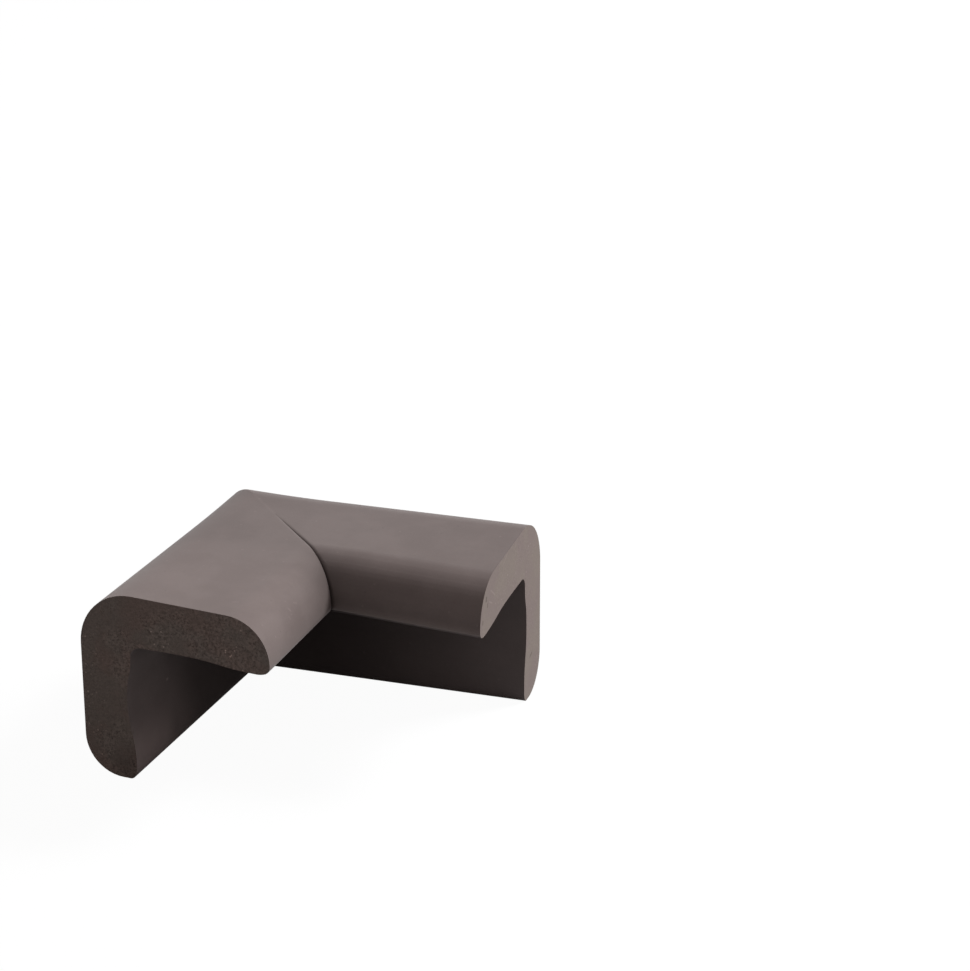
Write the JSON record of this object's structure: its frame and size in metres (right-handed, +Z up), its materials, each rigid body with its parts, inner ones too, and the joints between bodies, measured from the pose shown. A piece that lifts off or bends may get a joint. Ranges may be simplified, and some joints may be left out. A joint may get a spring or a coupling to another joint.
{
  "type": "furniture corner protector",
  "caption": "Foam guard for a table corner: thick L-section strip folded round the corner, with a mitred flange on top, a rounded outer corner and square-cut ends.",
  "frame": {"origin": "middle of the bounding box at the feet of the wall, on the plane the piece stands on", "axes": "+Z up from the feet of the wall to the flange; the right arm runs towards +X, the left arm towards -Y, the outer corner is at -X, +Y"},
  "size_m": [0.0648, 0.0638, 0.0352],
  "materials": {
    "foam": "satin moulded foam skin, matt cellular cut ends"
  },
  "bodies": {
    "root": {"protector": "foam"}
  },
  "joints": []
}
